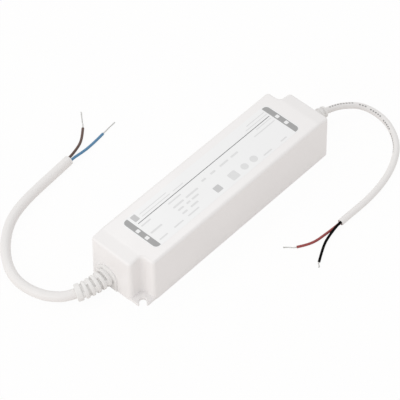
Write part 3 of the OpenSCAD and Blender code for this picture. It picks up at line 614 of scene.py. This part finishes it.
# Housing: one white moulding, open below. Two opposite corners are set back over a
# thin foot with an open screw slot, the top falls towards both end faces, and each
# end has a hole and a flat seat for its boot.
HALF_L, HALF_W, HEIGHT = 80.7, 20.7, 32.6
NOTCH, CORNER_R, INNER_R, TOP_R = 9.4, 3.0, 2.2, 1.8
DRAFT, WALL, FALL = 0.6, 2.0, 1.5
FOOT_T, SLOT_R, SLOT_IN, PRONG_R = 2.2, 2.15, 4.0, 0.5
COVER_T, LEDGE = 1.6, 1.0
SEAT_DEPTH, BOOT_FIT = 0.4, 0.15
CREASE = HALF_L - NOTCH
CREASE_HALF = 1.2
CREASE_LINES = 7
CORNER_STEPS = 12
case_white = finish("case_plastic", (0.89, 0.872, 0.868), (0.86, 0.842, 0.838), 0.32, cloud=30, grain=2200,
                    depth=0.012, specular=0.5)
skin = WALL + DRAFT
top_in = DRAFT + TOP_R
crease_off = np.linspace(-CREASE_HALF, CREASE_HALF, CREASE_LINES)
crease_turn = np.degrees(np.arccos((INNER_R - crease_off[::-1]) / (INNER_R + top_in)))
inner_degrees = np.concatenate([np.linspace(90, crease_turn[0], 4)[:-1], crease_turn,
                                np.linspace(crease_turn[-1], 0, 5)[1:]])


def arc_points(centre, radius, degrees):
    """Points on a circle at the given angles."""
    a = np.radians(degrees)
    return np.stack([centre[0] + radius * np.cos(a), centre[1] + radius * np.sin(a)], 1)


def step_outline(inset):
    """Plan of the case at an inset: the crease points, the block's two rounded corners, the inside corner
    of the set-back and its outer corner, then the same turned half round. Arc centres stay put."""
    r = CORNER_R
    quarter = np.linspace(0, 90, CORNER_STEPS + 1)
    near = np.vstack([
        np.stack([-CREASE - crease_off, np.full(CREASE_LINES, HALF_W - inset)], 1),
        arc_points((-HALF_L + r, HALF_W - r), r - inset, 90 + quarter),
        arc_points((-HALF_L + r, -HALF_W + NOTCH + r), r - inset, 180 + quarter),
        arc_points((-CREASE - INNER_R, -HALF_W + NOTCH - INNER_R), INNER_R + inset, inner_degrees),
        arc_points((-CREASE + r, -HALF_W + r), r - inset, 180 + quarter)])
    return np.vstack([near, -near])


def top_height(x):
    """Top face over x: level between the creases, a short parabola over each crease, then a straight
    fall to the end."""
    past = np.abs(x) - CREASE
    bend = np.clip(past + CREASE_HALF, 0, 2 * CREASE_HALF)
    return HEIGHT - FALL / NOTCH * (bend**2 / (4 * CREASE_HALF) + np.clip(past - CREASE_HALF, 0, None))


def shrink(plan, by):
    """Plan loop moved inwards by a distance, each corner along the bisector of its two edges."""
    edge = np.roll(plan, -1, 0) - plan
    normal = np.stack([-edge[:, 1], edge[:, 0]], 1) / np.linalg.norm(edge, axis=1)[:, None]
    before = np.roll(normal, 1, 0)
    return plan + by * (normal + before) / (1 + (normal * before).sum(1))[:, None]


def foot_plan():
    """Plan of one foot: two outer edges that end in rounded prongs, and between them the screw slot,
    round at its closed end and open through the corner at 45 degrees."""
    reach = NOTCH + CORNER_R
    screw = SLOT_IN - DRAFT / 2
    meet = SLOT_R * math.sqrt(2) + PRONG_R * math.tan(math.radians(67.5))
    prong = arc_points((PRONG_R, meet), PRONG_R, np.linspace(180, 315, 10))
    closed_end = arc_points((screw, screw), SLOT_R, np.linspace(135, -45, 25))
    plan = np.vstack([prong, closed_end, prong[::-1, ::-1], [[reach, 0], [reach, reach], [0, reach]]])
    return plan + [DRAFT / 2 - HALF_L, DRAFT / 2 - HALF_W]


def loft(name, levels, caps=None):
    """Closed skin over loops of equal length: quads between neighbours, a flat cap below and, unless
    caps lists the faces of the last loop, one flat cap above."""
    n = len(levels[0])
    last = (len(levels) - 1) * n
    tops = [range(n)] if caps is None else caps
    faces = [tuple(q) for q in grid_quads(len(levels), n)] + [tuple(range(n))]
    faces += [tuple(last + i for i in face) for face in tops]
    return closed_mesh(name, np.vstack(levels) * MM, faces)


def prism(name, plan, low, high, axis):
    """Closed prism over a plan loop, from low to high along one axis."""
    return loft(name, [np.insert(plan, axis, level, 1) for level in (low, high)])


def at_height(plan, z):
    """Plan loop as points at one height, or at one height each."""
    return np.column_stack([plan, np.broadcast_to(z, len(plan))])


wall_levels = [at_height(step_outline(0), 0)]
for a in np.radians(np.linspace(0, 90, 10)):
    plan = step_outline(DRAFT + TOP_R * (1 - np.cos(a)))
    wall_levels.append(at_height(plan, top_height(plan[:, 0]) - TOP_R * (1 - np.sin(a))))
# The top is a cap over each end block, strips over each crease, and one level cap between.
loop_n = len(wall_levels[0])
half_n = loop_n // 2
inner_at = CREASE_LINES + 2 * (CORNER_STEPS + 1) + 3
last_line = inner_at + CREASE_LINES - 1
top_faces = []
for k in (0, half_n):
    top_faces.append([k + i for i in range(CREASE_LINES - 1, inner_at + 1)])
    for i in range(CREASE_LINES - 1):
        top_faces.append([k + i, k + i + 1, k + last_line - i - 1, k + last_line - i])
top_faces.append([*range(last_line, half_n), *range(half_n + last_line, loop_n)])
top_faces[-1].insert(half_n - last_line, half_n)
top_faces[-1].append(0)
case = bpy.data.objects.new("case_form", loft("moulded_housing", wall_levels, top_faces))
scene.collection.objects.link(case)

foot = foot_plan()
foot_levels = [(0.12, 0), (0, 0.12), (0, FOOT_T - 0.3), (0.09, FOOT_T - 0.09), (0.3, FOOT_T)]
arch = np.linspace(0, 180, 49)
tools = []
for side in (1, -1):
    levels = [at_height(side * shrink(foot, inset), z) for inset, z in foot_levels]
    tools.append(("UNION", loft("foot", levels)))
tools.append(("DIFFERENCE", prism("cavity", step_outline(skin), -1, HEIGHT - FALL - WALL, 2)))
tools.append(("DIFFERENCE", prism("cover_recess", step_outline(skin - LEDGE), -1, COVER_T, 2)))
for outlet, neck_r, plate_r in ((IN_OUTLET, IN_NECK_R, IN_PLATE_R), (OUT_OUTLET, OUT_NECK_R, OUT_PLATE_R)):
    side = np.sign(outlet[0])
    middle = outlet[1:]
    hole = arc_points(middle, neck_r + BOOT_FIT, np.linspace(0, 360, 97)[:-1])
    seat_r = plate_r + BOOT_FIT / 3
    seat = np.vstack([arc_points(middle, seat_r, arch),
                      [[middle[0] - seat_r, -1], [middle[0] + seat_r, -1]]])
    tools.append(("DIFFERENCE", prism("outlet", hole, side * (HALF_L - skin - 1), side * (HALF_L + 1), 0)))
    tools.append(("DIFFERENCE", prism("seat", seat, side * (HALF_L - SEAT_DEPTH), side * (HALF_L + 2), 0)))
tool_objects = []
for operation, mesh in tools:
    tool = bpy.data.objects.new(mesh.name, mesh)
    scene.collection.objects.link(tool)
    tool_objects.append(tool)
    step = case.modifiers.new(mesh.name, "BOOLEAN")
    step.operation = operation
    step.solver = "EXACT"
    step.object = tool
ready = case.evaluated_get(bpy.context.evaluated_depsgraph_get())
housing_mesh = bpy.data.meshes.new_from_object(ready)
housing_mesh.name = "moulded_housing"
for spent in (case, *tool_objects):
    bpy.data.objects.remove(spent)
housing = new_piece(housing_mesh, case_white, 35)
flat_faces = housing.modifiers.new("flat_faces", "WEIGHTED_NORMAL")
flat_faces.keep_sharp = True
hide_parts("housing")

# Label: a thin satin film with printed fields in greys, stuck on the level part of the
# top. The inks lie on the film, and the two end bars have small windows left white.
LABEL_L, LABEL_W, LABEL_R = 124.0, 28.0, 3.5
FILM_T, INK_T = 0.08, 0.008
film_white = finish("label_film", (0.885, 0.887, 0.89), (0.87, 0.872, 0.875), 0.33, cloud=25, grain=1500,
                    depth=0.004, specular=0.45)
inks = [print_ink("bar_ink", (0.365, 0.365, 0.365), (0.345, 0.345, 0.345)),
        print_ink("rule_ink", (0.20, 0.20, 0.205), (0.17, 0.17, 0.175)),
        print_ink("mark_ink", (0.58, 0.58, 0.585), (0.55, 0.55, 0.555)),
        print_ink("pale_ink", (0.75, 0.752, 0.755), (0.72, 0.722, 0.725)),
        print_ink("left_white", (0.86, 0.862, 0.865), (0.84, 0.842, 0.845), 0.35)]
BAR, RULE, MARK, PALE, BLANK = range(5)


def round_rect(x0, y0, x1, y1, radii):
    """Rectangle with a radius at each corner, from the far right one round to the near right one."""
    corners = ((x1, y1, -1, -1, 0), (x0, y1, 1, -1, 90), (x0, y0, 1, 1, 180), (x1, y0, -1, 1, 270))
    return np.vstack([arc_points((x + sx * r, y + sy * r), r, np.linspace(start, start + 90, 7))
                      for (x, y, sx, sy, start), r in zip(corners, radii)])


film_plan = round_rect(-LABEL_L / 2, -LABEL_W / 2, LABEL_L / 2, LABEL_W / 2, [LABEL_R] * 4)
film_top = HEIGHT + FILM_T
film = loft("label_sheet", [at_height(film_plan, HEIGHT), at_height(film_plan, film_top - 0.03),
                            at_height(shrink(film_plan, 0.03), film_top)])
label = new_piece(film, film_white)
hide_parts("label")

# Each print is its ink, its layer, its box and its corner radii.
prints = []
for end in (-1, 1):
    outer, inner = end * 61.3, end * 57.4
    x0, x1 = min(outer, inner), max(outer, inner)
    ends = (0.3, 2.6, 2.6, 0.3) if end < 0 else (2.6, 0.3, 0.3, 2.6)
    prints.append((BAR, 0, (x0, -13.4, x1, 13.2), ends))
    for y in (2.6, -4.5):
        prints.append((BLANK, 1, (end * 59.4 - 1.2, y - 1.2, end * 59.4 + 1.2, y + 1.2), [0.4] * 4))
prints.append((RULE, 0, (-55.5, 6.05, 56.4, 6.55), [0.2] * 4))
prints.append((MARK, 0, (-55.6, 8, -51.8, 12.9), [0.6] * 4))
# Rows of plain dashes: the middle of the row, its thickness, then where each dash starts and ends.
rows = [
    (10.6, 0.6, (-50, -28), (41, 56.5)), (8.4, 0.6, (-50, -27), (-24.5, -16), (38, 56.5)),
    (4.6, 0.6, (43, 56)), (1.7, 0.8, (38, 56)), (1.2, 1.4, (-8, -4.5), (-0.5, 3.5), (7.5, 14.5), (17, 23)),
    (3.6, 1, (-55.5, -48), (-33.5, -23)), (-0.5, 1.3, (-33.5, -25), (-23, -13)),
    (-3.8, 1.3, (-55.5, -46.5), (-33, -28.5), (-26, -23), (-21.5, -16)),
    (-7.2, 1.3, (-33, -29), (-26, -20)), (-10.7, 1, (-55.5, -49), (-43.5, -36), (-32, -23)),
    (-12, 1, (31, 38), (46, 51))]
for y, thick, *dashes in rows:
    for x0, x1 in dashes:
        prints.append((PALE, 0, (x0, y - thick / 2, x1, y + thick / 2), [0.3 * thick] * 4))
# Plain squares and discs in one row: the middle along X, half the width, the ink and the corner radius.
SHAPES_Y = -9.3
shapes = [(-5.5, 2.4, MARK, 0.6), (8, 3, PALE, 0.8), (17.3, 2.4, PALE, 2.3), (25.2, 2.5, PALE, 2.4)]
for x, half, ink, radius in shapes:
    prints.append((ink, 0, (x - half, SHAPES_Y - half, x + half, SHAPES_Y + half), [radius] * 4))
print_verts, print_faces, print_inks = [], [], []
for ink, layer, box, radii in prints:
    plan = round_rect(*box, radii)
    n = len(plan)
    low = film_top + layer * INK_T - 0.001
    first = sum(len(v) for v in print_verts)
    print_verts.append(np.vstack([at_height(plan, low), at_height(plan, film_top + (layer + 0.9) * INK_T)]))
    faces = [tuple(q) for q in grid_quads(2, n) + first]
    faces += [tuple(range(first, first + n)), tuple(range(first + n, first + 2 * n))]
    print_faces += faces
    print_inks += [ink] * len(faces)
print_mesh = closed_mesh("label_print", np.vstack(print_verts) * MM, print_faces, 1e-9)
label_print = new_piece(print_mesh, inks[0])
for ink in inks[1:]:
    print_mesh.materials.append(ink)
print_mesh.polygons.foreach_set("material_index", np.array(print_inks))
print_mesh.update()

# Base cover and the parts inside: they stay as the CAD solids, each with the finish
# of its own kind of part.
inside = {
    "base_cover": ((0.87, 0.85, 0.845), 0.45, 0.0),
    "circuit_board": ((0.02, 0.12, 0.045), 0.35, 0.0),
    "fuse": ((0.03, 0.03, 0.032), 0.4, 0.0),
    "suppression_capacitor": ((0.62, 0.42, 0.04), 0.35, 0.0),
    "ring_choke_core": ((0.06, 0.20, 0.10), 0.55, 0.0),
    "ring_choke_windings": ((0.45, 0.16, 0.05), 0.3, 1.0),
    "bridge_rectifier": ((0.012, 0.012, 0.013), 0.5, 0.0),
    "reservoir_capacitor": ((0.012, 0.014, 0.035), 0.3, 0.0),
    "transformer_core": ((0.035, 0.035, 0.038), 0.7, 0.0),
    "transformer_bobbin": ((0.02, 0.02, 0.022), 0.5, 0.0),
    "transformer_winding": ((0.58, 0.38, 0.05), 0.35, 0.0),
    "switch_transistor": ((0.012, 0.012, 0.012), 0.5, 0.0),
    "switch_heat_spreader": ((0.55, 0.56, 0.58), 0.35, 1.0),
    "rectifier_diode": ((0.012, 0.012, 0.012), 0.5, 0.0),
    "diode_heat_spreader": ((0.55, 0.56, 0.58), 0.35, 1.0),
    "output_capacitor_a": ((0.014, 0.016, 0.04), 0.3, 0.0),
    "output_capacitor_b": ((0.014, 0.016, 0.04), 0.3, 0.0),
    "drum_choke_core": ((0.035, 0.035, 0.038), 0.7, 0.0),
    "drum_choke_winding": ((0.45, 0.16, 0.05), 0.3, 1.0),
    "disc_capacitor": ((0.05, 0.17, 0.42), 0.4, 0.0),
    "optocoupler": ((0.75, 0.75, 0.72), 0.5, 0.0),
    "control_chip": ((0.01, 0.01, 0.01), 0.5, 0.0),
    "input_tail_brown": ((0.115, 0.058, 0.040), 0.38, 0.0),
    "input_tail_blue": ((0.09, 0.21, 0.37), 0.38, 0.0),
    "output_tail_red": ((0.36, 0.028, 0.026), 0.38, 0.0),
    "output_tail_black": ((0.004, 0.004, 0.0045), 0.4, 0.0),
}
for node, (colour, rough, metal) in inside.items():
    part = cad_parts[node]
    part.data.materials.clear()
    part.data.materials.append(finish(node + "_finish", colour, tuple(0.85 * c for c in colour), rough,
                                      cloud=150, grain=3000, metallic=metal))
